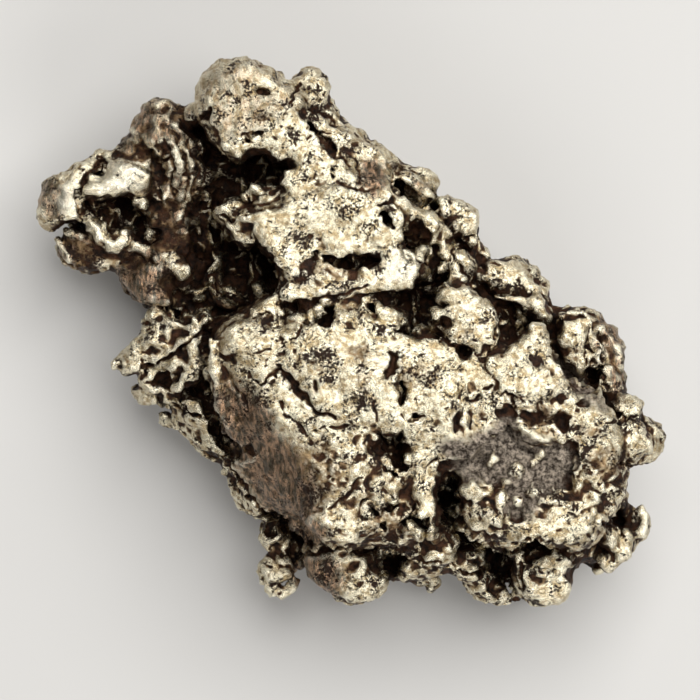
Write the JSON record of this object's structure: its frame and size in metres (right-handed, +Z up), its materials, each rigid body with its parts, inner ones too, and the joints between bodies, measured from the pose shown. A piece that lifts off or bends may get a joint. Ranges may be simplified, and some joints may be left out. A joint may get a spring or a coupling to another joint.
{
  "type": "iron meteorite",
  "caption": "Small iron meteorite, a flat twisted lump of coarse nickel-iron with worn bright plates and knobs over dark brown hollows; lies flat for display.",
  "frame": {"origin": "middle of the outline seen from above, on the surface that the stone lies on", "axes": "+X along the longer side of the outline's box towards the broad end, +Y towards the narrow end's crown, +Z up through the thickness, out of the broad worn face"},
  "size_m": [0.0438, 0.0384, 0.0178],
  "materials": {
    "meteoric_iron": "nickel-iron, bright and finely pitted on worn plates and knobs, dark brown oxide in the hollows, one patch of grey oxide"
  },
  "bodies": {
    "root": {"meteorite": "meteoric_iron"}
  },
  "joints": []
}
